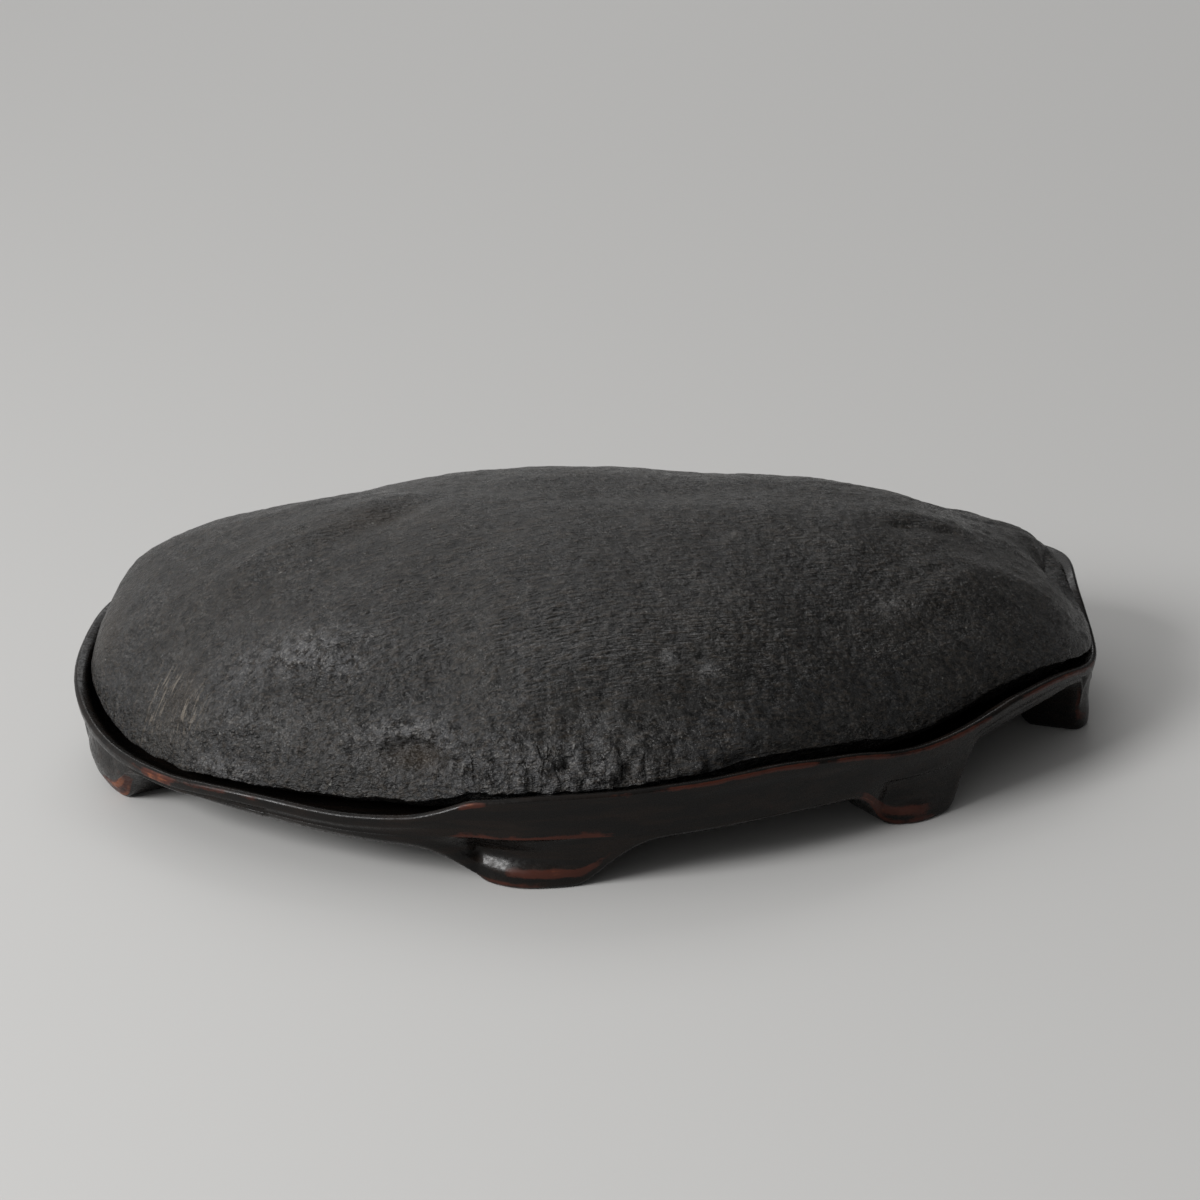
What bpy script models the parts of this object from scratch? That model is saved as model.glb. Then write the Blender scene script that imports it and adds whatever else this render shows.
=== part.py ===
"""Scholar's rock: a low, domed dark stone resting in a carved one-piece wooden stand.

The long axis of the stone is X, its front faces -Y and up is +Z. The origin is on the surface that the
feet stand on, under the middle of the whole object. The tables are in millimetres, the model in metres.
"""

import math

import bmesh
import bpy
import numpy as np
from mathutils import Vector, noise

MM = 0.001
OBJECT_NAME = "scholars_rock"

# --- The line of the rim ----------------------------------------------------------------------------
# Read anticlockwise from the right end: x and y of the rim's outer edge, the height of the rim, the height
# of the lower edge between the feet, how far that lower edge is cut in under the rim, the gap between rim
# and stone, how far the stone's widest line lies above the rim, and how full the
# stone's crown is above it.
RIM_STATIONS = (
    (152.8, 15.0, 25.2, 20.0, 2.5, 0.5, 1.5, 1.9),  # right end
    (151.0, 45.0, 33.0, 17.5, 2.5, 0.8, 1.0, 1.5),
    (149.0, 72.0, 36.0, 16.0, 3.0, 2.0, 0.8, 1.3),  # right corner at the back
    (126.5, 89.5, 35.5, 15.0, 3.0, 1.8, 0.8, 1.35),
    (94.5, 95.0, 34.2, 15.0, 3.0, 1.2, 0.8, 1.5),
    (60.0, 97.0, 33.5, 15.0, 3.0, 1.0, 0.8, 1.7),
    (25.0, 97.5, 33.5, 15.0, 3.0, 1.0, 0.8, 1.9),  # middle of the back
    (-12.0, 95.5, 34.0, 15.0, 3.0, 1.4, 0.8, 2.0),
    (-49.0, 91.0, 34.5, 15.0, 3.0, 1.6, 0.8, 2.0),
    (-85.0, 81.5, 35.0, 15.0, 3.0, 1.2, 0.8, 1.8),
    (-117.0, 66.0, 35.6, 15.5, 3.0, 1.0, 0.8, 1.75),
    (-142.5, 43.5, 36.0, 16.0, 3.0, 0.8, 0.8, 1.9),
    (-154.3, 15.0, 33.5, 17.0, 3.0, 0.5, 0.5, 2.1),  # left end
    (-155.2, -15.0, 28.2, 16.0, 3.0, 0.5, 0.3, 2.2),
    (-143.2, -42.0, 21.6, 14.5, 3.5, 1.2, 0.0, 2.3),
    (-121.0, -65.5, 21.0, 14.0, 4.0, 2.2, -0.2, 2.3),
    (-92.0, -82.5, 22.0, 13.0, 4.0, 2.6, 0.3, 2.3),
    (-62.0, -93.0, 21.6, 11.8, 3.0, 4.2, 2.0, 2.3),
    (-31.5, -98.0, 27.8, 12.5, 2.0, 1.8, 0.9, 2.3),
    (-1.5, -97.0, 29.8, 13.4, 1.5, 0.6, 0.2, 2.3),  # front
    (29.5, -89.5, 30.3, 14.0, 1.5, 0.8, 0.4, 2.3),
    (60.5, -75.5, 30.3, 14.0, 1.5, 1.8, 1.8, 2.2),
    (91.5, -57.0, 25.4, 14.5, 2.0, 2.8, 2.4, 2.2),
    (118.0, -35.5, 28.4, 19.5, 3.0, 3.6, 3.4, 2.1),
    (140.0, -11.0, 28.6, 20.5, 3.0, 3.0, 4.0, 2.0),
)
RIM_X, RIM_Y, RIM_HEIGHT, APRON_HEIGHT, UNDERCUT, GAP, EDGE_LIFT, FULLNESS = range(8)

# --- Stand ------------------------------------------------------------------------------------------
# Each foot: bearing from the centre in degrees, half the length of its toe, the run of its curve up to the
# apron on the clockwise and on the anticlockwise side, how far the toe stands in from the rim, and how
# deeply the cove and the ledge above the toe are carved (0 to 1).
FEET = (
    (6.2, 9.5, 12.0, 22.0, 1.2, 0.2),  # right
    (50.0, 12.0, 24.0, 22.0, 2.0, 1.0),  # right of the back
    (118.0, 12.0, 22.0, 24.0, 2.0, 1.0),  # left of the back
    (193.5, 13.5, 20.0, 20.0, 5.0, 0.0),  # left
    (259.9, 13.0, 24.0, 26.0, 1.8, 1.0),  # front
    (330.6, 11.5, 17.0, 7.0, 1.6, 0.8),  # right of the front
)
SPRING_POWER = 2.4
TOE_POWER = 1.4
FOOT_DEPTH = 15.0
FOOT_TAPER = 4.0
SOLE_ROUND = 0.9
TOE_EDGE = 4.8
COVE_HEIGHT = 11.0
COVE_DEPTH = 3.4
LEDGE_HEIGHT = 17.2
LEDGE_STEP = 1.2
APRON_BAND = 1.6
WALL_HOLLOW = 1.1
RIM_WIDTH = 4.4
RIM_LIP = 3.4
RIM_ROUND = 1.0
UNDERSIDE_HEIGHT = 9.5
UNDERSIDE_SHARE = 0.5
RECESS_FLOOR = 14.5
RECESS_WALL_SHARE = 0.6
RECESS_FLOOR_SHARE = 0.78

# --- Stone ------------------------------------------------------------------------------------------
STONE_TOP = 77.3
SEAT_GAP = 0.35
CROWN_RISE_POWER = 2.2
PEAK = (-20.0, 5.0)
BELLY_PLAN_POWER = 6.0
BELLY_RISE_POWER = 2.0
STONE_DIVISIONS = 20
STONE_SPREAD = (150.0, 92.0, 42.0)
SWELLS = ((38.0, 1.1), (17.0, 0.5))
EDGE_WAVE = (9.0, 0.7)
CALM_ABOVE_RIM = 5.0

# The forms on the stone: middle, heading in plan in degrees, half length, half width, and how far the form
# rises from the surface; a hollow's rise is negative.
STONE_FORMS = (
    ((124.0, 50.0, 52.0), 130.0, 46.0, 30.0, -6.5),  # low shoulder at the right of the back
    ((-84.0, 46.0, 62.0), 24.0, 36.0, 22.0, -2.0),  # sloping shoulder at the left of the back
    ((-63.0, -1.0, 75.0), 38.0, 17.0, 7.0, -1.6),  # dark hollow high on the left
    ((-76.0, 6.0, 73.0), 30.0, 26.0, 8.0, 0.9),  # roll behind that hollow
    ((-100.0, -14.0, 67.0), 24.0, 34.0, 6.5, 1.0),  # flow band
    ((-108.0, -28.0, 61.0), 26.0, 30.0, 6.0, -0.9),  # trough under the flow band
    ((-79.0, -59.0, 55.0), 10.0, 16.0, 7.0, 1.3),  # rough swelling on the left of the front
    ((-74.0, -67.0, 51.0), 5.0, 11.0, 7.0, -1.8),  # hollow under the swelling
    ((-48.0, -84.5, 38.6), 0.0, 8.0, 6.0, -2.6),  # pit above the rim
    ((-49.0, -80.5, 45.5), 8.0, 12.0, 5.0, 1.2),  # brow over the pit
    ((-94.0, -72.0, 29.0), -23.0, 14.0, 5.0, -1.2),  # ledge over the left of the front
    ((-112.0, -58.0, 36.0), -25.0, 16.0, 9.0, 1.2),  # swelling beside the left foot
    ((-22.0, -88.0, 44.0), 0.0, 8.0, 12.0, 1.0),  # facets low on the front
    ((-6.0, -90.0, 38.0), 0.0, 6.0, 11.0, -1.0),
    ((8.0, -88.0, 42.0), 0.0, 7.0, 12.0, 0.9),
    ((24.0, -84.0, 38.0), 15.0, 7.0, 10.0, -0.9),
    ((46.0, -74.0, 44.0), 25.0, 16.0, 10.0, 0.8),  # swelling on the right of the front
    ((100.0, 20.0, 63.0), 27.0, 18.0, 5.5, -1.3),  # long crack on the right
    ((93.0, 26.0, 66.0), 27.0, 22.0, 6.0, 0.7),  # lip over the crack
    ((107.0, -8.0, 57.0), 55.0, 28.0, 6.5, 1.3),  # low ridge on the right
    ((94.0, -24.0, 57.0), 50.0, 13.0, 6.0, -1.3),  # hollow in front of the ridge
    ((134.0, 22.0, 42.0), 80.0, 18.0, 10.0, 1.2),  # bulge at the right end
    ((18.0, 40.0, 75.0), 5.0, 30.0, 14.0, 0.9),  # rise on the top
    ((-12.0, 20.0, 76.0), -10.0, 16.0, 9.0, -0.8),  # dip on the top
    ((40.0, 78.0, 52.0), 170.0, 26.0, 12.0, -1.8),  # hollow at the back
    ((-45.0, 76.0, 52.0), 10.0, 24.0, 12.0, 1.4),  # swelling at the back
)

STAND_STEPS = 132
FOOT_CROWDING = 1.3
RING_SAMPLES = 1440


def through_ring(values, samples):
    """Read a smooth closed curve through evenly numbered values at evenly numbered places."""
    count = len(values)
    unit = np.eye(count)
    blend = (4.0 * unit + np.roll(unit, 1, axis=1) + np.roll(unit, -1, axis=1)) / 6.0
    control = np.linalg.solve(blend, np.array(values, dtype=float))
    place = np.arange(samples) * count / samples
    index = np.floor(place).astype(int)
    share = (place - index)[:, None]
    return (
        (1.0 - share) ** 3 * control[(index - 1) % count]
        + (3.0 * share**3 - 6.0 * share**2 + 4.0) * control[index % count]
        + (-3.0 * share**3 + 3.0 * share**2 + 3.0 * share + 1.0) * control[(index + 1) % count]
        + share**3 * control[(index + 2) % count]
    ) / 6.0


class Rim:
    """The rim's closed line and what varies along it, read by the share of its length."""

    def __init__(self, stations):
        line = through_ring(stations, RING_SAMPLES)
        closed = np.vstack([line, line[:1]])
        steps = np.hypot(np.diff(closed[:, RIM_X]), np.diff(closed[:, RIM_Y]))
        self.walked = np.concatenate([[0.0], np.cumsum(steps)])
        self.length = self.walked[-1]
        self.closed = closed

    def read(self, share):
        """The eight values of the stations at a share of the rim's length."""
        walked = (share % 1.0) * self.length
        return [float(np.interp(walked, self.walked, column)) for column in self.closed.T]

    def inward(self, share):
        """The level direction that points from the rim into the recess."""
        before, after = self.read(share - 0.002), self.read(share + 0.002)
        along = Vector((after[RIM_X] - before[RIM_X], after[RIM_Y] - before[RIM_Y], 0.0)).normalized()
        return Vector((-along.y, along.x, 0.0))

    def share_at(self, bearing):
        """The share of the rim's length where it crosses a bearing given in degrees."""
        bearings = np.degrees(np.arctan2(self.closed[:, RIM_Y], self.closed[:, RIM_X]))
        away = np.abs((bearings - bearing + 180.0) % 360.0 - 180.0)
        return float(self.walked[int(np.argmin(away))] / self.length)


def mix(first, second, share):
    """Blend two numbers."""
    return first + (second - first) * share


class Foot:
    """One foot, placed by its share of the rim's length."""

    def __init__(self, rim, bearing, half_toe, clockwise_run, anticlockwise_run, inset, carving):
        self.place = rim.share_at(bearing)
        self.rim = rim
        self.half_toe = half_toe
        self.runs = (clockwise_run, anticlockwise_run)
        self.inset = inset
        self.carving = carving

    def rise(self, share):
        """How far the lower edge has risen from the sole (0) to the apron (1)."""
        along = ((share - self.place + 0.5) % 1.0 - 0.5) * self.rim.length
        run = self.runs[1] if along > 0.0 else self.runs[0]
        climbed = min(max((abs(along) - self.half_toe) / run, 0.0), 1.0)
        return (1.0 - (1.0 - climbed) ** SPRING_POWER) ** TOE_POWER


def stand_section(rim, feet, share):
    """Points of the stand's section: out along the underside, up the side, over the rim, into the recess."""
    x, y, top, apron, undercut = rim.read(share)[:GAP]
    edge = Vector((x, y, 0.0))
    inward = rim.inward(share)
    rises = [foot.rise(share) for foot in feet]
    nearest = min(range(len(feet)), key=lambda number: rises[number])
    rise = rises[nearest]
    foot = 1.0 - rise
    carving = foot * feet[nearest].carving
    low = apron * rise
    inset = mix(feet[nearest].inset, undercut, rise)
    wall_top = top - RIM_LIP
    band = min(low + mix(TOE_EDGE, APRON_BAND, rise), wall_top - 2.0)
    under = mix(apron, UNDERSIDE_HEIGHT, 0.7)
    cove = mix(mix(band, wall_top, 0.35), COVE_HEIGHT, foot)
    ledge = mix(mix(band, wall_top, 0.6), min(LEDGE_HEIGHT, wall_top - 1.5), foot)
    ledge_inset = mix(inset, WALL_HOLLOW, 0.75)

    def at(inset_from_rim, height):
        point = edge + inward * inset_from_rim
        return Vector((point.x, point.y, height))

    def towards_middle(part, height):
        return Vector((x * part, y * part, height))

    wall_low = RECESS_FLOOR + (top - RECESS_FLOOR) * RECESS_WALL_SHARE
    return [
        towards_middle(0.0, UNDERSIDE_HEIGHT),
        towards_middle(UNDERSIDE_SHARE, UNDERSIDE_HEIGHT),
        at(inset + FOOT_DEPTH + FOOT_TAPER, under),
        at(inset + FOOT_DEPTH, under * rise),
        at(inset + SOLE_ROUND, low),
        at(inset, low + SOLE_ROUND),
        at(mix(inset, ledge_inset, 0.4 * (1.0 - carving)), band),
        at(mix(inset, ledge_inset, mix(0.8, 0.5, carving)) + COVE_DEPTH * carving, cove),
        at(ledge_inset + 0.6 * LEDGE_STEP * carving, ledge - 0.8),
        at(ledge_inset - LEDGE_STEP * carving, ledge),
        at(WALL_HOLLOW, mix(ledge, wall_top, 0.5)),
        at(0.3 * WALL_HOLLOW, wall_top),
        at(0.0, top - RIM_ROUND),
        at(RIM_ROUND, top),
        at(RIM_WIDTH - RIM_ROUND, top),
        at(RIM_WIDTH, top - RIM_ROUND),
        at(RIM_WIDTH + 0.6, wall_low),
        at(RIM_WIDTH + 5.0, RECESS_FLOOR + 1.4),
        towards_middle(RECESS_FLOOR_SHARE, RECESS_FLOOR),
        towards_middle(0.0, RECESS_FLOOR),
    ]


def crowded_shares(feet):
    """Shares of the rim's length for the sections, closer together at the feet."""
    shares = np.arange(RING_SAMPLES + 1) / RING_SAMPLES
    near = [1.0 + FOOT_CROWDING * (min(foot.rise(share) for foot in feet) < 0.98) for share in shares]
    count = np.concatenate([[0.0], np.cumsum(near[1:])])
    wanted = np.arange(STAND_STEPS) * count[-1] / STAND_STEPS
    return [float(share) for share in np.interp(wanted, count, shares)]


def ring_template(levels, steps):
    """A closed tube of unit radius with its ends drawn to points, one ring of points for each level."""
    bm = bmesh.new()
    radii = [0.0] + [1.0] * (levels - 2) + [0.0]
    profile = [bm.verts.new((radius, 0.0, level)) for level, radius in enumerate(radii)]
    edges = [bm.edges.new(pair) for pair in zip(profile, profile[1:])]
    bmesh.ops.spin(
        bm,
        geom=profile + edges,
        axis=(0.0, 0.0, 1.0),
        cent=(0.0, 0.0, 0.0),
        steps=steps,
        angle=math.tau,
        use_merge=True,
    )
    bmesh.ops.remove_doubles(bm, verts=bm.verts, dist=0.0001)
    return bm


def build_stand(rim):
    """The stand: its section carried round the rim line."""
    feet = [Foot(rim, *foot) for foot in FEET]
    sections = [stand_section(rim, feet, share) for share in crowded_shares(feet)]
    bm = ring_template(len(sections[0]), STAND_STEPS)
    for vert in bm.verts:
        turn = math.atan2(vert.co.y, vert.co.x) / math.tau
        step = round(turn * STAND_STEPS) % STAND_STEPS
        vert.co = sections[step][round(vert.co.z)] * MM
    bmesh.ops.recalc_face_normals(bm, faces=bm.faces)
    return bm


def stone_point(rim, direction, mean_edge):
    """Where a direction from the middle of a ball meets the smooth stone, and the edge's height there."""
    share = math.atan2(direction.y, direction.x) / math.tau
    x, y, top, _, _, gap, lift, fullness = rim.read(share)
    level = min(math.hypot(direction.x, direction.y), 1.0)
    edge = Vector((x, y, 0.0)) + rim.inward(share) * (RIM_WIDTH + gap)
    wave_length, wave_height = EDGE_WAVE
    edge_height = top + lift + wave_height * noise.noise(edge / wave_length)
    if direction.z >= 0.0:
        part = level ** (2.0 / fullness)
        base = mix(mean_edge, edge_height, part**3)
        height = base + (STONE_TOP - mean_edge) * (1.0 - level * level) ** (1.0 / CROWN_RISE_POWER)
    else:
        part = level ** (2.0 / BELLY_PLAN_POWER)
        seat = RECESS_FLOOR + SEAT_GAP
        height = edge_height - (edge_height - seat) * (1.0 - level * level) ** (1.0 / BELLY_RISE_POWER)
    place = Vector((*PEAK, 0.0)).lerp(edge, part)
    return Vector((place.x, place.y, height)), edge_height


def stone_relief(point):
    """How far the stone's forms and swells stand out from the smooth stone at a point."""
    relief = sum(size * noise.noise(point / length) for length, size in SWELLS)
    for middle, heading, half_length, half_width, rise in STONE_FORMS:
        offset = point - Vector(middle)
        along = offset.dot(Vector((math.cos(math.radians(heading)), math.sin(math.radians(heading)), 0.0)))
        across = max(offset.length_squared - along * along, 0.0)
        relief += rise * math.exp(-((along / half_length) ** 2) - across / half_width**2)
    return relief


def build_stone(rim):
    """The stone: a ball drawn out to the line inside the rim, with a crown above and a belly below."""
    bm = bmesh.new()
    bmesh.ops.create_cube(bm, size=2.0)
    bmesh.ops.subdivide_edges(bm, edges=bm.edges, cuts=STONE_DIVISIONS - 1, use_grid_fill=True)
    mean_edge = sum(row[RIM_HEIGHT] + row[EDGE_LIFT] for row in RIM_STATIONS) / len(RIM_STATIONS)
    middle = Vector((*PEAK, mean_edge))
    for vert in bm.verts:
        point, edge_height = stone_point(rim, vert.co.normalized(), mean_edge)
        free = min(max((point.z - edge_height) / CALM_ABOVE_RIM, 0.0), 1.0)
        outward = Vector([(point[axis] - middle[axis]) / STONE_SPREAD[axis] ** 2 for axis in range(3)])
        vert.co = (point + outward.normalized() * stone_relief(point) * free) * MM
    bmesh.ops.recalc_face_normals(bm, faces=bm.faces)
    return bm


def wood_material():
    """Near-black lacquered wood."""
    material = bpy.data.materials.new("wood")
    material.use_nodes = True
    shader = material.node_tree.nodes["Principled BSDF"]
    shader.inputs["Base Color"].default_value = (0.012, 0.009, 0.008, 1.0)
    shader.inputs["Roughness"].default_value = 0.3
    shader.inputs["Metallic"].default_value = 0.0
    return material


def stone_material():
    """Waxed charcoal-grey stone."""
    material = bpy.data.materials.new("stone")
    material.use_nodes = True
    shader = material.node_tree.nodes["Principled BSDF"]
    shader.inputs["Base Color"].default_value = (0.045, 0.045, 0.046, 1.0)
    shader.inputs["Roughness"].default_value = 0.5
    shader.inputs["Metallic"].default_value = 0.0
    return material


def add_object(name, bm, material, collection):
    """Put a finished shape into the collection as a named object."""
    mesh = bpy.data.meshes.new(name)
    bm.to_mesh(mesh)
    bm.free()
    mesh.materials.append(material)
    mesh.shade_smooth()
    mesh.set_sharp_from_angle(angle=math.radians(40.0))
    piece = bpy.data.objects.new(name, mesh)
    collection.objects.link(piece)
    return piece


def centre_on_floor(pieces):
    """Move the pieces so that the box round them stands centred on the origin."""
    corners = [vert.co for piece in pieces for vert in piece.data.vertices]
    low = Vector([min(corner[axis] for corner in corners) for axis in range(3)])
    high = Vector([max(corner[axis] for corner in corners) for axis in range(3)])
    middle = (low + high) / 2.0
    for piece in pieces:
        for vert in piece.data.vertices:
            vert.co -= Vector((middle.x, middle.y, low.z))


def main():
    for old in list(bpy.data.objects):
        bpy.data.objects.remove(old, do_unlink=True)
    collection = bpy.data.collections.new(OBJECT_NAME)
    bpy.context.scene.collection.children.link(collection)
    rim = Rim(RIM_STATIONS)
    stand = add_object("stand", build_stand(rim), wood_material(), collection)
    stone = add_object("stone", build_stone(rim), stone_material(), collection)
    centre_on_floor([stand, stone])


main()
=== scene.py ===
"""Scholar's rock: the finished look of a low, domed dark stone in its carved wooden stand, and its stage.

The tables are in millimetres and the meshes in metres. The stone's long axis is X and its front faces -Y.
"""

import math

import bmesh
import bpy
import numpy as np
from bpy.props import FloatProperty, FloatVectorProperty, PointerProperty
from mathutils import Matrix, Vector, noise


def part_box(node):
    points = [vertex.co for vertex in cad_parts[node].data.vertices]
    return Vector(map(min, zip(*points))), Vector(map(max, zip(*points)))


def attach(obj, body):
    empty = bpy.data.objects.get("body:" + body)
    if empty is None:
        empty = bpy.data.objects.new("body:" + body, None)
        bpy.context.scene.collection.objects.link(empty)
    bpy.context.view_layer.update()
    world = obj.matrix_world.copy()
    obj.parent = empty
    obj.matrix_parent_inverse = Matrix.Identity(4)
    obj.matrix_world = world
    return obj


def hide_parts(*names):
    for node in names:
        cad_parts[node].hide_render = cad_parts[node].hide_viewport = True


bl_info = {
    "name": "Scholar's Rock",
    "version": (1, 0, 0),
    "blender": (4, 5, 0),
    "location": "View3D > Sidebar > Scholar's Rock",
    "description": "Builds a dark scholar's rock, its carved stand and a plain stage",
    "category": "Object",
}

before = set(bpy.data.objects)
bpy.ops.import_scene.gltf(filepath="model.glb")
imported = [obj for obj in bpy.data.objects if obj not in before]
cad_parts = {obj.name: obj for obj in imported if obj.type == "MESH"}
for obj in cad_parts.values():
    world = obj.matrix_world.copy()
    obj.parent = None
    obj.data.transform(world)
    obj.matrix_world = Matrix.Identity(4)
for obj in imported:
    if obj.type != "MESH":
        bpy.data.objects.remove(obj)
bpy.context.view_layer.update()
BODY = "root"
MM = 0.001

# --- The line of the rim
# Read anticlockwise from the right end: x and y of the rim's outer edge, the height of the rim, the height
# of the lower edge between the feet, how far that lower edge is cut in under the rim, the gap between rim
# and stone, how far the stone's widest line lies above the rim, and how full the stone's crown is above it.
RIM_STATIONS = (
    (152.8, 15, 25.2, 20, 2.5, -2.6, 2.6, 1.9),  # right end
    (151, 45, 35.4, 17.5, 2.5, -0.8, 0.6, 1.5),
    (149, 72, 36.2, 16, 3, 0.8, 0.6, 1.3),  # right corner at the back
    (126.5, 89.5, 35.5, 15, 3, 1.8, 0.8, 1.35),
    (94.5, 95, 34.2, 15, 3, 1.2, 0.8, 1.5),
    (60, 97, 33.5, 15, 3, 1, 0.8, 1.7),
    (25, 97.5, 33.5, 15, 3, 1, 0.8, 1.9),  # middle of the back
    (-12, 95.5, 34, 15, 3, 1.4, 0.8, 2),
    (-49, 91, 34.5, 15, 3, 1.6, 0.8, 2),
    (-85, 81.5, 35, 15, 3, 1.2, 0.8, 1.8),
    (-117, 66, 35.6, 15.5, 3, 1, 0.8, 1.75),
    (-142.5, 43.5, 36, 16, 3, 0.8, 0.8, 1.9),
    (-154.3, 15, 33.5, 17, 3, 0.5, 0.5, 2.1),  # left end
    (-155.2, -15, 28.2, 16, 3, 1, 0.3, 2.2),
    (-143.2, -42, 21.6, 14.5, 3.5, 2.3, -0.3, 2.3),
    (-121, -65.5, 21, 14, 4, 2.7, -0.7, 2.3),
    (-92, -82.5, 22, 13, 4, 2.6, 0, 2.3),
    (-62, -93, 21.6, 11.8, 3, 4.2, 1.2, 2.3),
    (-31.5, -98, 27.8, 12.5, 2, 1.8, -0.5, 2.3),
    (-1.5, -97, 29.8, 13.4, 1.5, 0.6, -1, 2.3),  # front
    (29.5, -89.5, 30.3, 14, 1.5, 0.8, -0.6, 2.3),
    (60.5, -75.5, 30.3, 14, 1.5, 1.8, 0.9, 2.2),
    (91.5, -57, 25.4, 14.5, 2, 2.8, 1.2, 2.2),
    (118, -35.5, 28.4, 19.5, 3, 3.6, 0.8, 2.1),
    (140, -11, 28.6, 20.5, 3, 0.2, 1.8, 2),
)
RIM_X, RIM_Y, RIM_HEIGHT = range(3)
GAP, EDGE_LIFT = 5, 6
RING_SAMPLES = 5760
HEADING_SHARE = 0.002  # the part of the line, each way, over which its heading is read

# Small dips and rises of the rim: bearing in degrees, half length in millimetres, rise.
RIM_DIPS = (
    (242.5, 9, -0.8),
    (250.5, 5, 0.7),
    (209, 9, -0.4),
    (282, 10, 0.3),
    (309, 8, -0.4),
    (318, 7, 0.4),
    (345, 8, 0.4),
    (96, 12, 0.5),
    (150, 10, -0.5),
    (171, 16, 1.5),
)

# --- Stand
# Each foot: bearing from the centre in degrees, half the length of its toe, the run of its curve up to the
# apron on the clockwise and on the anticlockwise side, how far the toe stands in from the rim, and how
# deeply the cove and the ledge above the toe are carved (0 to 1).
FEET = (
    (6.2, 9.5, 12, 22, 1.2, 0.2),  # right
    (50, 12, 24, 22, 2, 1),  # back right
    (118, 12, 22, 24, 2, 1),  # back left
    (192, 11.5, 20, 20, 5.6, 0),  # left
    (259.6, 14, 23, 26, 2.8, 1),  # front
    (330.6, 11.5, 18, 9, 1.6, 0.45),  # front right
)
SPRING_POWER = 2.4  # how steeply the curve beside a toe ends
TOE_POWER = 1.4  # how softly it leaves the floor
TOE_SOFTNESS = ((-3.2, 0.1), (-1.6, 0.2), (0.0, 0.4), (1.6, 0.2), (3.2, 0.1))  # offset, weight
TOE_BOWS = (6.0, 1.4)  # how far a toe's clockwise and anticlockwise ends bow in
TOE_END = 2.0
CARVING_KEPT = 6.0  # the carving fades from this far before the toe's middle
CARVING_FADE = 26.0  # over this length
CARVING_POWER = 1.5
LEDGE_REACH = (1.1, 1.7)  # how much further than the toe's curves the ledge runs
LEDGE_FULLNESS = 3.0
FOOT_DEPTH = 15.0  # from a toe's face to the back of its sole
FOOT_TAPER = 4.0  # how much deeper it is at the underside
SOLE_ROUND = 0.9
TOE_EDGE = 4.8  # height of a toe's top edge
COVE_HEIGHT = 9.4
LEDGE_HEIGHT = 16.4
APRON_BAND = 1.6  # height of the apron's lowest band
WALL_HOLLOW = 1.1  # how far the wall lies in under the rim
RIM_LIP = 3.4  # height of the rim's outer face
RIM_LEAN = 0.8  # how much lower the rim is at its inner edge
UNDERSIDE_HEIGHT = 9.5
UNDERSIDE_SHARE = 0.5
RECESS_FLOOR = 14.5
RECESS_WALL_SHARE = 0.6
RECESS_FLOOR_SHARE = 0.78
RECESS_CORNER = (5.0, 1.4)  # where its floor turns up: inset, height
LEAST_WALL = 2.4  # the least heights between key points
LEAST_STEPS = (0.6, 1.0, 1.5)
FOOT_CROWDING = 0.8  # how much closer the stations are at the feet
STAND_STATIONS = 1000
MARKS_FROM = 0.0008  # in metres: the soles carry no tool marks
STAND_RIM_WIDTH = 4.4  # the rim's width where the stone meets it

# The rounding at each key point of the section, from the middle of the underside to the middle of the
# recess: the radius, the points on the round and the points on the flat before it.
SECTION_ROUNDS = (
    (0, 1, 0),
    (4, 2, 0),
    (2, 2, 2),
    (1, 2, 1),
    (0.5, 3, 1),
    (0.5, 3, 0),  # toe, bottom
    (0.9, 4, 3),  # toe, top edge
    (2.6, 8, 4),  # cove
    (0.5, 3, 3),  # under the ledge
    (0.5, 4, 0),  # ledge
    (3, 4, 4),  # wall
    (1.6, 4, 2),
    (0.5, 4, 1),  # rim, outer edge
    (0.5, 3, 0),
    (0.8, 3, 3),  # rim, inner edge
    (0.8, 3, 0),
    (2, 2, 1),
    (2, 2, 1),
    (4, 2, 0),
    (0, 1, 0),
)
TOE, SOLE, TOE_TOP, LEDGE, LIP, RIM_OUTSIDE = (5, 6), (5,), (6,), (9,), (11, 12), (12,)
FLAT_SHARE = 0.48  # the most of a side that a round takes
WEAR_FADE = 1.1  # how far the wear spreads from an edge

# Where the dark finish has worn through to red wood: the key points of the section, the bearing in
# degrees, half the length of the worn stretch in millimetres, and how worn it is.
WORN_EDGES = (
    (RIM_OUTSIDE, 300, 40, 0.62),
    (RIM_OUTSIDE, 325, 45, 0.5),
    (RIM_OUTSIDE, 355, 26, 0.75),
    (LIP, 206.5, 6, 0.92),
    (RIM_OUTSIDE, 212, 26, 0.5),
    (RIM_OUTSIDE, 251, 4.5, 0.62),
    (LEDGE, 261, 25, 0.72),
    (TOE_TOP, 263, 14, 0.85),
    (SOLE, 256, 12, 0.5),
    (TOE, 196, 9, 1),
    (TOE, 325, 16, 0.7),
    (TOE_TOP, 3, 9, 0.4),
    (RIM_OUTSIDE, 70, 60, 0.5),
    (RIM_OUTSIDE, 140, 50, 0.55),
    (TOE, 50, 20, 0.7),
    (TOE, 118, 20, 0.7),
    (LEDGE, 50, 26, 0.6),
    (LEDGE, 118, 26, 0.6),
)

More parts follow.
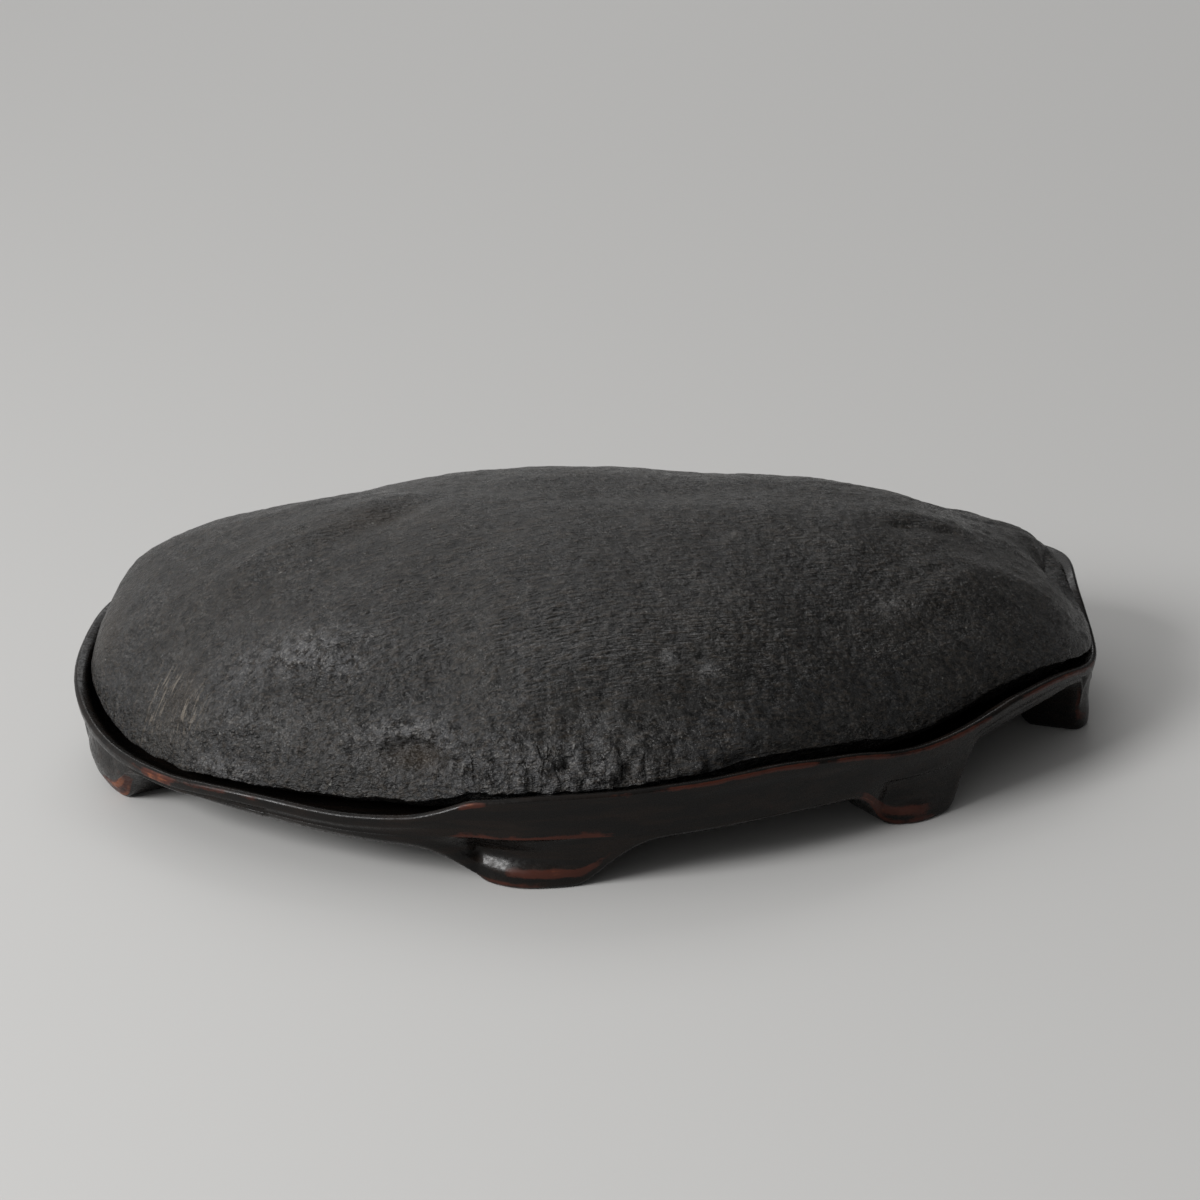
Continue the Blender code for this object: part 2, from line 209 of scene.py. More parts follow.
# --- Stone
PEAK = (-20, 5)  # the middle of the crown in plan
CROWN_RISE_POWER = 2.2  # how flat the crown's top is
EDGE_POWER = 3  # how soon the crown forgets the ups and downs of the edge
ARRIS = 0.22  # how far up its curve the crown starts at the front
ARRIS_TURN = (0.35, 1.6)  # how that fades round the sides
BELLY_PLAN_POWER = 6.0  # how upright the belly's side is
BELLY_RISE_POWER = 2.0  # how flat its bottom is
UNDERCUT_DEPTH = 1.3  # how far the belly steps in below the widest line
UNDERCUT_CLEARANCE = 0.6
UNDERCUT_FADE = 0.9  # within this height
SEAT_GAP = 0.35
STONE_DIVISIONS = 128
CROWDING = (0.0, -0.42, 0.3)  # moves the ball's points to the front and the top
STONE_SPREAD = (150, 92, 42)  # the ellipsoid the forms stand out from
SWELLS = ((38, 1.1), (17, 0.5))  # length, height
EDGE_WAVES = ((9, 0.7, 0), (3.1, 0.35, 7))  # length, height, shift
CALM_ABOVE_RIM = 5.0  # the forms are full this far above the edge
CALM_SKIN = (1.5, 2.0)  # where the skin's relief starts under the edge, and its run
STONE_MASKS = ("rough", "stain", "scuff", "broken")

# The hammered grain: length, share and shift.
GRAIN_NOISES = ((5.2, 1.0, 3.0), (2.3, 0.7, 11.0))
ROUGH_GRAIN = 1.8  # how much deeper the grain is where the stone is rough
CRUMBLE = (6.5, 21.0)  # length and shift of the broken skin there

# Flow lines: the patch they fill, their depth, and their heading in degrees, length, width and shift.
FLOW_LINES = (
    (((-95, -20, 62), (50, 40, 20), 1), 0.7, (24, 34, 6, 0)),
    (((105, 0, 57), (40, 40, 20), 1), 0.45, (42, 30, 5, 5)),
)

# Upright chatter low on the front: its patch, the size of one chip, and the finer noise over it.
CHATTER_PATCH = ((-14, -90, 34.5), (38, 14, 7), 1)
CHATTER_SIZE = (4.2, 4.2, 13)
FINE_CHATTER = (1.9, 4.0)  # times finer, shift

# The forms on the stone: middle, heading in plan in degrees, half length, half width, and how far the form
# rises from the surface; a hollow's rise is negative.
STONE_FORMS = (
    ((124, 50, 52), 130, 46, 30, -6.5),  # low shoulder back right
    ((-84, 46, 62), 24, 36, 22, -2),  # sloping shoulder back left
    ((-61, 1.5, 74.3), 42, 15, 5, -2.1),  # dark hollow high on the left
    ((-75, -9.5, 72), 36, 10, 4.5, -1.2),
    ((-76, 6, 73), 30, 26, 8, 0.9),  # roll behind that hollow
    ((-100, -14, 67), 24, 34, 6, 1.4),  # flow band
    ((-108, -28, 61), 26, 30, 6, -1.5),  # trough under the flow band
    ((-79, -58, 54.5), 10, 16, 6, 1.8),  # rough swelling front left
    ((-75, -63, 48.5), 5, 11, 6, -2.2),  # hollow under the swelling
    ((-50, -81, 35), 0, 9, 5.5, -2.8),  # pit above the rim
    ((-49, -78.5, 41.5), 8, 13, 4.5, 1.6),  # brow over the pit
    ((-98, -67, 29.5), -23, 15, 4, -1.3),  # ledge front left
    ((-103, -68, 24), -24, 15, 4, 1.2),  # lip under that ledge
    ((-112, -58, 36), -25, 16, 9, 1.2),  # swelling beside the left foot
    ((-22, -88, 44), 0, 8, 12, 1),  # facets low on the front
    ((-6, -90, 38), 0, 6, 11, -1),
    ((8, -88, 42), 0, 7, 12, 0.9),
    ((24, -84, 38), 15, 7, 10, -0.9),
    ((46, -74, 44), 25, 16, 10, 0.8),  # swelling front right
    ((99.5, 23, 62), 29, 24, 3, -0.6),  # long crack on the right
    ((93, 29, 64.5), 27, 24, 5, 0.7),  # lip over the crack
    ((105, -8, 56), 50, 28, 6, 1.2),  # low ridge on the right
    ((98, -24, 51.5), 45, 15, 6, -1.2),  # hollow in front of the ridge
    ((134, 22, 42), 80, 18, 10, 1.2),  # bulge at the right end
    ((146, 51, 43), 120, 15, 13, -4.6),  # cut-away corner back right
    ((18, 40, 75), 5, 30, 14, 0.9),  # rise on the top
    ((82, 52, 65), 165, 38, 22, 2.6),  # full shoulder back right
    ((-12, 20, 76), -10, 16, 9, -0.8),  # dip on the top
    ((40, 78, 52), 170, 26, 12, -1.8),  # hollow at the back
    ((-45, 76, 52), 10, 24, 12, 1.4),  # swelling at the back
)

# Small forms, read the same way, that are cut along the surface's own normal.
SMALL_FORMS = (
    ((93, 20.6, 63.6), 27, 12, 1.2, -1.1),  # the crack itself
    ((106.5, 27.5, 59.3), 32, 12, 1.2, -0.9),
    ((-56, -79.3, 35.2), -10, 3.4, 1.7, -1.3),  # bottom of the pit
    ((-50.8, -79.8, 36.7), 5, 3.6, 1.8, -1.9),
    ((-45.4, -80.6, 36), 15, 3.6, 1.6, -1.3),
    ((-61, -78.3, 37.2), -18, 4, 1.5, 1.1),  # sharp brow
    ((-54.8, -78.4, 39.9), -8, 4.2, 1.6, 1.5),
    ((-47.2, -80.4, 39.9), 12, 4.6, 1.6, 1.4),
    ((-41, -82.5, 37.6), 20, 3, 1.4, 0.9),
    ((-107, -65, 25.4), -25, 8, 1.4, -1.4),  # thin ledge line
    ((-95.5, -69.3, 28.5), -22, 8, 1.4, -1.3),
    ((20.5, -65.7, 57), 20, 2.2, 1.5, 0.6),  # small chips
    ((31.5, -66, 53), 60, 2.2, 1.5, 0.6),
)

# Upright cracks and facets low on the front: middle, half width, half height, rise.
UPRIGHT_FORMS = (
    ((-34.4, -88.6, 34.5), 1.4, 3.2, -0.9),
    ((-26.5, -90.7, 33), 1.5, 3.6, -1.2),
    ((-18.8, -90.4, 37), 1.3, 2.8, -0.8),
    ((-17, -91.5, 32), 1.4, 4, -1.5),
    ((-9.9, -92.2, 32.5), 1.4, 3.4, -1.2),
    ((-8, -88.5, 36), 1.3, 2.6, -1.2),
    ((0.6, -90, 33.5), 1.3, 2.8, -1.2),
    ((8, -89, 34), 1.4, 3, -1.1),
    ((-40, -87, 33.5), 2.8, 2.8, 1),
    ((-30, -89.5, 33), 2, 3, 0.9),
    ((-21.8, -91, 32.5), 2.4, 3.8, 1.3),
    ((-13.2, -91.5, 33.5), 2.2, 4.6, 1.2),
    ((-5, -91, 33), 2, 3.2, 1.1),
    ((3.8, -90, 35), 1.8, 3.8, 0.9),
    ((28, -83.5, 32.6), 2.4, 1.9, 1.2),
    ((39.4, -78.4, 31.5), 4.5, 1.8, -1.6),
)

# Patches whose surface is rougher and drier than the rest, lighter in colour partly as a painted sheen:
# middle, half size, and strength.
ROUGH_PATCHES = (
    ((-83, -56.5, 54.3), (19, 9, 6.5), 1.2),
    ((-72, -61, 53.5), (8, 6, 5), 1),
    ((-97, -53, 49.5), (13, 9, 8), 0.55),
    ((-51, -79.5, 40), (15, 7, 4.2), 1.5),
    ((-60, -78.5, 36.5), (5, 5, 3), 1.1),
    ((-45, -84.5, 33.5), (20, 7, 5), 0.65),
    ((-104, -67.5, 24), (14, 8, 3.5), 1.1),
    ((-92, -66, 36), (30, 14, 9), 0.38),
    ((-58, -79, 34), (22, 10, 8), 0.45),
    ((-14, -90, 34), (28, 12, 7), 1.05),
    ((10, -84, 40), (30, 12, 8), 0.35),
    ((21, -65.7, 56.8), (2.6, 2.4, 2), 0.8),
    ((31.5, -66.5, 52.9), (3, 2.6, 2.4), 0.7),
    ((88, -22, 54), (8, 6, 4), 0.35),
    ((140, 12, 33), (12, 12, 5), 0.5),
)

# Places with fine light scratches: middle, half size, strength.
SCUFFS = (
    ((-124, -43, 37), (7, 7, 9), 1),
    ((-116.5, -52, 35), (6, 6, 9), 0.9),
    ((-128.5, -45, 29), (5, 5, 6), 0.7),
)

# Places stained ochre: middle, half size, strength.
STAINS = (
    ((-50, -82, 34), (9, 5, 3.2), 1),
    ((-64, 0, 74), (16, 8, 6), 0.5),
    ((-119, -48, 37), (7, 6, 9), 0.4),
    ((-145, -10, 42), (6, 12, 10), 0.4),
    ((92, -22, 54), (10, 8, 5), 0.15),
)

# --- Finishes
# The blotches of the finishes: scale, detail, and the two limits of the mask.
BROAD = (38, 4, 0.38, 0.62)
CLOUDS = (130, 5, 0.42, 0.62)
GRAIN = (340, 4, 0.42, 0.62)
STREAKS = (1100, 3, 0.47, 0.66)
SCRATCHES = (1300, 3, 0.54, 0.61)
SPECKS = (560, 1, 0.77, 0.80)
WOOD_STREAKS = (420, 4, 0.42, 0.66)
WOOD_PATCHES = (120, 5, 0.35, 0.65)
WOOD_PORES = (900, 3, 0.4, 0.6)
WOOD_GRAIN = (0.08, 0.6, 1.0)
STREAK_TURN = (0.0, 0.0, math.radians(14.0))
SCRATCH_TURN = (0.0, math.radians(-54.0), math.radians(47.0))
CRACK_SHAPE = (1.0, 1.0, 0.21)
CRACK_SCALE = 125.0
CRACK_NOISE = (260.0, 3.0)  # scale, detail
CRACK_WANDER = 0.0024
COARSE_MINERAL, FINE_MINERAL = 1050.0, 2100.0
# Between these heights the stone turns lighter and cooler towards the bottom: a painted sheen.
LOW_SHEEN_HEIGHTS = (0.062, 0.036)
STONE_RELIEF, WOOD_RELIEF = 0.0013, 0.0003
STONE_SPECULAR, WOOD_SPECULAR, FLOOR_SPECULAR = 0.265, 0.20, 0.2
FLOOR_ROUGHNESS = 0.9

# --- Stage
FLOOR_SIZE = 12.0
BRIGHT_SIDE = (-0.95, 0.08, 0.3)
SKY_TURN = (-0.5, 0.95)
SKY_COLOUR = (0.985, 0.985, 0.985, 1.0)
DIM_SIDE = 0.10
PITCH, VIEW_ANGLE = math.radians(22.0), math.radians(22.62)
CLIP_START = 0.05

# The lights: name, place, target, size.
MAIN_LIGHT = ("main_light", (-1.22, -0.84, 0.92), (0.0, 0.0, 0.04), (0.75, 0.6))
BACK_LIGHT = ("back_light", (-0.2, 1.9, 1.8), (0.0, 0.9, 0.0), (1.8, 0.9))


def number_property(name, description, default, **more):
    """A number of the object or the stage, shown in the sidebar."""
    return FloatProperty(name=name, description=description, default=default, **more)


def length_property(name, description, default):
    """A size, shown in the scene's units."""
    return number_property(name, description, default, unit="LENGTH", precision=5)


def colour_property(name, description, default):
    """A colour of a finish, shown in the sidebar as a swatch."""
    return FloatVectorProperty(
        name=name, description=description, default=(*default, 1.0), size=4, min=0.0, max=1.0, subtype="COLOR"
    )


class StoneSettings(bpy.types.PropertyGroup):
    """Sizes and colours of the stone."""

    top: length_property("Top", "Height of the stone's top above the floor", 0.0769)
    grain: length_property("Grain", "How deep the hammered grain of the skin is", 0.00022)
    chatter: length_property("Chatter", "How deep the upright chatter low on the front is", 0.0010)
    colour: colour_property("Stone", "The waxed skin", (0.0104, 0.0101, 0.0098))
    # Painted sheen: a lighter, cooler colour low on the sides.
    low_sheen_colour: colour_property("Lower stone", "Cooler colour low on the sides", (0.0168, 0.0171, 0.0180))
    light_colour: colour_property("Lighter clouds", "The broad lighter clouds", (0.020, 0.0188, 0.0170))
    # Painted shade in the low spots of the grain and in the cracks.
    pit_shade_colour: colour_property("Pits", "The small pits of the grain", (0.004, 0.0039, 0.0038))
    dry_colour: colour_property("Dry patches", "Where the wax is thin", (0.205, 0.199, 0.192))
    streak_colour: colour_property("Streaks", "Brown flow streaks", (0.054, 0.044, 0.035))
    # The rough patches are lighter: rubbed dry skin, and partly a painted sheen.
    rubbed_and_sheen_colour: colour_property("Rubbed", "The rough broken patches", (0.104, 0.104, 0.107))
    scuff_colour: colour_property("Scratches", "Fine light scratches", (0.19, 0.165, 0.135))
    stain_colour: colour_property("Stain", "Ochre stain in the hollows", (0.040, 0.029, 0.019))
    speck_colour: colour_property("Specks", "Chalky specks in the skin", (0.22, 0.215, 0.20))


class StandSettings(bpy.types.PropertyGroup):
    """Sizes and colours of the stand."""

    rim_width: length_property("Rim width", "Width of the rim seen from above", 0.0044)
    rim_round: length_property("Rim round", "Rounding of the rim's two edges", 0.0010)
    ledge_step: length_property("Ledge", "How far the ledge over a foot stands out", 0.0012)
    cove_depth: length_property("Cove", "How deeply the cove under the ledge is carved", 0.0032)
    tool_marks: length_property("Tool marks", "How uneven the hand-carved surface is", 0.00012)
    colour: colour_property("Wood", "The dark finish", (0.0052, 0.0045, 0.0041))
    streak_colour: colour_property("Streaks", "Brown streaks of the grain", (0.012, 0.0078, 0.0058))
    worn_colour: colour_property("Worn wood", "Red wood where the finish is thin", (0.050, 0.0145, 0.009))
    bare_colour: colour_property("Bare wood", "Orange wood where the finish is gone", (0.17, 0.055, 0.025))


class StageSettings(bpy.types.PropertyGroup):
    """The floor, the light and the camera."""

    floor_colour: colour_property("Floor", "The plain floor", (0.53, 0.525, 0.515))
    sky: number_property("Sky", "Strength of the even light", 0.80, min=0.0)
    main_power: number_property("Main light", "Power of the large light at the left", 26.0, unit="POWER")
    back_power: number_property("Back light", "Power of the light over the back", 13.0, unit="POWER")
    camera_x: length_property("Camera across", "Where the camera stands across the front", 0.0023)
    camera_y: length_property("Camera back", "How far in front the camera stands", -0.8297)
    camera_z: length_property("Camera height", "Height of the camera over the floor", 0.3829)
    camera_pitch: number_property("Pitch", "How far the camera looks down", PITCH, subtype="ANGLE")
    camera_angle: number_property("Angle", "Width of the camera's view", VIEW_ANGLE, subtype="ANGLE")


def through_ring(values, samples):
    """Read a smooth closed curve through evenly numbered values at evenly numbered places."""
    count = len(values)
    unit = np.eye(count)
    blend = (4.0 * unit + np.roll(unit, 1, axis=1) + np.roll(unit, -1, axis=1)) / 6.0
    control = np.linalg.solve(blend, np.array(values, dtype=float))
    place = np.arange(samples) * count / samples
    index = np.floor(place).astype(int)
    share = (place - index)[:, None]
    return (
        (1.0 - share) ** 3 * control[(index - 1) % count]
        + (3.0 * share**3 - 6.0 * share**2 + 4.0) * control[index % count]
        + (-3.0 * share**3 + 3.0 * share**2 + 3.0 * share + 1.0) * control[(index + 1) % count]
        + share**3 * control[(index + 2) % count]
    ) / 6.0


class Rim:
    """The rim's closed line and what varies along it, read by the share of its length."""

    def __init__(self, stations):
        line = through_ring(stations, RING_SAMPLES)
        self.closed = np.vstack([line, line[:1]])
        steps = np.hypot(np.diff(self.closed[:, RIM_X]), np.diff(self.closed[:, RIM_Y]))
        self.walked = np.concatenate([[0.0], np.cumsum(steps)])
        self.length = self.walked[-1]
        shares = self.walked / self.length
        for bearing, half_length, rise in RIM_DIPS:
            away = self.along(shares, bearing) / half_length
            self.closed[:, RIM_HEIGHT] += rise * np.exp(-(away**2))

    def read(self, shares):
        """The values of the stations at shares of the rim's length, one row for each share."""
        walked = (shares % 1.0) * self.length
        return np.stack([np.interp(walked, self.walked, column) for column in self.closed.T], axis=-1)

    def inward(self, shares):
        """The level directions that point from the rim into the recess."""
        ahead = self.read(shares + HEADING_SHARE) - self.read(shares - HEADING_SHARE)
        along = ahead[:, :RIM_HEIGHT] / np.linalg.norm(ahead[:, :RIM_HEIGHT], axis=1)[:, None]
        return np.stack([-along[:, 1], along[:, 0]], axis=-1)

    def share_at(self, bearing):
        """The share of the rim's length where it crosses a bearing given in degrees."""
        bearings = np.degrees(np.arctan2(self.closed[:, RIM_Y], self.closed[:, RIM_X]))
        away = np.abs((bearings - bearing + 180.0) % 360.0 - 180.0)
        return float(self.walked[int(np.argmin(away))] / self.length)

    def along(self, shares, bearing):
        """How far each share lies from a bearing, along the rim, anticlockwise positive."""
        return ((shares - self.share_at(bearing) + 0.5) % 1.0 - 0.5) * self.length

    def place(self):
        """How far the whole object was moved in plan to stand centred."""
        low, high = self.closed.min(axis=0), self.closed.max(axis=0)
        box_low, box_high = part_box("stand")
        return [
            (box_low[axis] + box_high[axis]) / MM / 2.0 - (low[axis] + high[axis]) / 2.0
            for axis in (RIM_X, RIM_Y)
        ] + [0.0]


def mix(first, second, share):
    """Blend two numbers or arrays."""
    return first + (second - first) * share


def smooth(share):
    """A share kept between 0 and 1, with soft ends."""
    share = np.clip(share, 0.0, 1.0)
    return share**2 * (3.0 - 2.0 * share)


def noise_at(points, length, shift=0.0):
    """Smooth noise, about -1 to 1, whose swells are about one length across."""
    return np.array([noise.noise(Vector(point)) for point in points / length + shift])


def streaks_at(points, heading, long, short, shift):
    """Noise drawn out along a heading in plan."""
    turn = math.radians(heading)
    along = points[:, 0] * math.cos(turn) + points[:, 1] * math.sin(turn)
    across = points[:, 1] * math.cos(turn) - points[:, 0] * math.sin(turn)
    return noise_at(np.stack([along / long, across / short, points[:, 2] / short], axis=-1), 1.0, shift)


def forms_at(points, forms):
    """The summed rise of a table of forms at each point."""
    relief = np.zeros(len(points))
    for middle, heading, half_length, half_width, rise in forms:
        offset = points - np.array(middle)
        turn = math.radians(heading)
        along = offset[:, 0] * math.cos(turn) + offset[:, 1] * math.sin(turn)
        across = np.maximum((offset**2).sum(axis=1) - along**2, 0.0)
        relief += rise * np.exp(-((along / half_length) ** 2) - across / half_width**2)
    return relief


def patches_at(points, patches):
    """The strongest of a table of soft patches at each point."""
    strength = np.zeros(len(points))
    for middle, half_size, strongest in patches:
        offset = (points - np.array(middle)) / np.array(half_size)
        strength = np.maximum(strength, strongest * np.exp(-(offset**2).sum(axis=1)))
    return strength


# --- Building the stand


def foot_rise(along, foot, wider):
    """How far the lower edge has risen from a foot's sole (0) to the apron (1), soft at the toe's ends."""
    half_toe, clockwise_run, anticlockwise_run = foot[1:4]
    rise = np.zeros_like(along)
    for offset, weight in TOE_SOFTNESS:
        moved = along + offset
        run = np.where(moved > 0.0, anticlockwise_run * wider[1], clockwise_run * wider[0])
        climbed = np.clip((np.abs(moved) - half_toe) / run, 0.0, 1.0)
        rise += weight * (1.0 - (1.0 - climbed) ** SPRING_POWER) ** TOE_POWER
    return rise


def rise_at(rim, shares, wider=(1.0, 1.0)):
    """The rise of the lower edge at each share, lowest over the feet."""
    return np.min([foot_rise(rim.along(shares, foot[0]), foot, wider) for foot in FEET], axis=0)


def stand_keys(rim, sizes, shares):
    """The key points of the stand's section at each share: stations by key points by x, y and z."""
    values = rim.read(shares)
    x, _, top, apron, undercut = values[:, :GAP].T
    line = values[:, :RIM_HEIGHT]
    inward = rim.inward(shares)
    along = np.stack([rim.along(shares, foot[0]) for foot in FEET])
    nearest = np.abs(along).argmin(axis=0)
    half_toe, _, _, foot_inset, foot_carving = np.array(FEET)[nearest, 1:].T
    rise = rise_at(rim, shares)
    foot = 1.0 - rise
    reach = np.clip(1.0 - rise_at(rim, shares, LEDGE_REACH), 0.0, 1.0)
    low = apron * rise
    from_toe = along[nearest, np.arange(len(nearest))]
    bow = np.where(from_toe > 0.0, TOE_BOWS[1], TOE_BOWS[0])
    bow = bow * np.clip(np.abs(from_toe) / (half_toe + TOE_END), 0.0, 1.0) ** 2
    fade = smooth((from_toe + CARVING_KEPT) / CARVING_FADE)
    carving = reach**CARVING_POWER * foot_carving * (1.0 - fade)
    bulge = 1.0 - foot_carving
    inset = mix(foot_inset + bow, undercut, rise)
    wall_top = top - RIM_LIP
    band = np.minimum(low + mix(TOE_EDGE, APRON_BAND, rise), wall_top - LEAST_WALL)
    under = mix(apron, UNDERSIDE_HEIGHT, 0.7)
    ledge = np.minimum(LEDGE_HEIGHT, wall_top - LEAST_STEPS[2])
    ledge = mix(mix(band, wall_top, 0.6), ledge, smooth(reach * LEDGE_FULLNESS))
    ledge = np.minimum(np.maximum(ledge, band + LEAST_WALL), wall_top - LEAST_STEPS[0])
    cove = mix(mix(band, wall_top, 0.35), COVE_HEIGHT, foot)
    cove = np.minimum(np.maximum(cove, band + LEAST_STEPS[0]), ledge - LEAST_STEPS[1])
    ledge_inset = mix(inset, WALL_HOLLOW, 0.75)
    step = sizes.ledge_step / MM * carving
    hollow = sizes.cove_depth / MM * carving
    width = sizes.rim_width / MM
    edge = sizes.rim_round / MM
    wall_low = RECESS_FLOOR + (top - RECESS_FLOOR) * RECESS_WALL_SHARE

    def at(inset_from_rim, height):
        plan = line + inward * np.broadcast_to(inset_from_rim, x.shape)[:, None]
        return np.column_stack([plan, np.broadcast_to(height, x.shape)])

    def towards_middle(part, height):
        return np.column_stack([line * part, np.full_like(x, height)])

    return np.stack(
        [
            towards_middle(0.0, UNDERSIDE_HEIGHT),
            towards_middle(UNDERSIDE_SHARE, UNDERSIDE_HEIGHT),
            at(inset + FOOT_DEPTH + FOOT_TAPER, under),
            at(inset + FOOT_DEPTH, under * rise),
            at(inset + SOLE_ROUND, low),
            at(inset, low + SOLE_ROUND),
            at(mix(inset, ledge_inset, (0.4 + 0.3 * bulge) * (1.0 - carving)), band),
            at(mix(inset, ledge_inset, mix(0.8 + 0.3 * bulge, 0.0, carving)) + hollow, cove),
            at(ledge_inset + 0.6 * step, ledge - 0.8),
            at(ledge_inset - step, ledge),
            at(WALL_HOLLOW, mix(ledge, wall_top, 0.5)),
            at(0.3 * WALL_HOLLOW, wall_top),
            at(0.0, top - edge),
            at(edge, top),
            at(width - edge, top - RIM_LEAN),
            at(width, top - RIM_LEAN - edge),
            at(width + 0.6, wall_low),
            at(width + RECESS_CORNER[0], RECESS_FLOOR + RECESS_CORNER[1]),
            towards_middle(RECESS_FLOOR_SHARE, RECESS_FLOOR),
            towards_middle(0.0, RECESS_FLOOR),
        ],
        axis=1,
    )


def rounded_section(keys, worn):
    """Round the section at its key points; the wear of each key point goes with its round."""
    rows, wear = [keys[:, 0]], [worn[:, 0]]
    last = keys[:, 0]
    for number in range(1, keys.shape[1] - 1):
        radius, on_round, on_flat = SECTION_ROUNDS[number]
        point = keys[:, number]
        back, ahead = keys[:, number - 1] - point, keys[:, number + 1] - point
        back_length = np.linalg.norm(back, axis=1)[:, None]
        ahead_length = np.linalg.norm(ahead, axis=1)[:, None]
        start = point + back / back_length * np.minimum(radius, FLAT_SHARE * back_length)
        end = point + ahead / ahead_length * np.minimum(radius, FLAT_SHARE * ahead_length)
        flat = np.linalg.norm(start - last, axis=1)
        for step in range(on_flat):
            share = (step + 1.0) / (on_flat + 1.0)
            rows.append(mix(last, start, share))
            fade_before = np.exp(-flat * share / WEAR_FADE)
            fade_after = np.exp(-flat * (1.0 - share) / WEAR_FADE)
            wear.append(np.minimum(worn[:, number - 1] * fade_before + worn[:, number] * fade_after, 1.0))
        for step in range(on_round):
            share = step / (on_round - 1.0)
            rows.append((1.0 - share) ** 2 * start + 2.0 * share * (1.0 - share) * point + share**2 * end)
            wear.append(worn[:, number])
        last = end
    rows.append(keys[:, -1])
    wear.append(worn[:, -1])
    return np.stack(rows, axis=1), np.stack(wear, axis=1)


def ring_template(levels, steps):
    """A closed tube of unit radius with its ends drawn to points, one ring of points for each level."""
    bm = bmesh.new()
    radii = [0.0] + [1.0] * (levels - 2) + [0.0]
    profile = [bm.verts.new((radius, 0.0, level)) for level, radius in enumerate(radii)]
    edges = [bm.edges.new(pair) for pair in zip(profile, profile[1:])]
    axis, centre = (0.0, 0.0, 1.0), (0.0, 0.0, 0.0)
    bmesh.ops.spin(
        bm, geom=profile + edges, axis=axis, cent=centre, steps=steps, angle=math.tau, use_merge=True
    )
    bmesh.ops.remove_doubles(bm, verts=bm.verts, dist=0.0001)
    return bm


def crowded_shares(rim):
    """Shares of the rim's length for the stand's stations, closer together at the feet."""
    shares = np.arange(RING_SAMPLES + 1) / RING_SAMPLES
    rise = rise_at(rim, shares)
    count = np.concatenate([[0.0], np.cumsum(1.0 + FOOT_CROWDING * (rise[1:] < 0.98))])
    wanted = np.arange(STAND_STATIONS) * count[-1] / STAND_STATIONS
    return np.interp(wanted, count, shares)


def build_stand(sizes):
    """The stand: its rounded section carried round the rim line."""
    rim = Rim(RIM_STATIONS)
    shares = crowded_shares(rim)
    keys = stand_keys(rim, sizes, shares)
    worn = np.zeros(keys.shape[:2])
    for rows, bearing, half_length, strength in WORN_EDGES:
        spread = strength * np.exp(-((rim.along(shares, bearing) / half_length) ** 4))
        for row in rows:
            worn[:, row] = np.maximum(worn[:, row], spread)
    points, wear = rounded_section(keys, worn)
    bm = ring_template(points.shape[1], STAND_STATIONS)
    worn_layer = bm.verts.layers.float.new("worn")
    place = np.array(rim.place())
    for vert in bm.verts:
        turn = math.atan2(vert.co.y, vert.co.x) / math.tau
        station = round(turn * STAND_STATIONS) % STAND_STATIONS
        level = round(vert.co.z)
        vert[worn_layer] = wear[station, level]
        vert.co = (points[station, level] + place) * MM
    bmesh.ops.recalc_face_normals(bm, faces=bm.faces)
    bm.normal_update()
    for vert in bm.verts:
        if vert.co.z > MARKS_FROM:
            spot = vert.co / MM
            uneven = 0.5 + 0.5 * noise.noise(spot / 11.0) + 0.35 * noise.noise(spot / 4.5)
            vert.co -= vert.normal * sizes.tool_marks * uneven
    return bm


# --- Building the stone


def smooth_stone(rim, directions, stone_top):
    """Where directions from the middle of a ball meet the smooth stone, and the edge's height there."""
    shares = np.arctan2(directions[:, 1], directions[:, 0]) / math.tau
    x, y, top, _, _, gap, lift, fullness = rim.read(shares).T
    inward = rim.inward(shares)
    level = np.minimum(np.hypot(directions[:, 0], directions[:, 1]), 1.0)
    reach = STAND_RIM_WIDTH + gap
    edge = np.stack([x + inward[:, 0] * reach, y + inward[:, 1] * reach, np.zeros_like(x)], axis=-1)
    behind = directions[:, 1] / np.maximum(level, 0.01)
    arris = ARRIS * np.clip(ARRIS_TURN[0] - ARRIS_TURN[1] * behind, 0.0, 1.0)
    edge_height = top + lift
    for length, size, shift in EDGE_WAVES:
        edge_height += size * noise_at(edge, length, shift)
    stations = np.array(RIM_STATIONS)
    mean_edge = float((stations[:, RIM_HEIGHT] + stations[:, EDGE_LIFT]).mean())
    flat = 1.0 - level * level
    climb = mix(arris, 1.0, np.sqrt(flat))
    crown_part = np.sqrt((1.0 - climb**2) / (1.0 - arris**2)) ** (2.0 / fullness)
    start = arris ** (2.0 / CROWN_RISE_POWER)
    climbed = (climb ** (2.0 / CROWN_RISE_POWER) - start) / (1.0 - start)
    crown = mix(mean_edge, edge_height, crown_part**EDGE_POWER) + (stone_top - mean_edge) * climbed
    belly_part = level ** (2.0 / BELLY_PLAN_POWER)
    belly = edge_height - (edge_height - RECESS_FLOOR - SEAT_GAP) * flat ** (1.0 / BELLY_RISE_POWER)
    upper = directions[:, 2] >= 0.0
    part = np.where(upper, crown_part, belly_part)[:, None]
    points = mix(np.array([*PEAK, 0.0]), edge, part)
    points[:, 2] = np.where(upper, crown, belly)
    tucked = UNDERCUT_DEPTH + np.maximum(-gap, 0.0) + UNDERCUT_CLEARANCE
    tucked = tucked * (1.0 - np.exp(-np.maximum(edge_height - belly, 0.0) / UNDERCUT_FADE)) * level
    points[:, :2] += inward * np.where(upper, 0.0, tucked)[:, None]
    return points, edge_height, np.array([*PEAK, mean_edge])


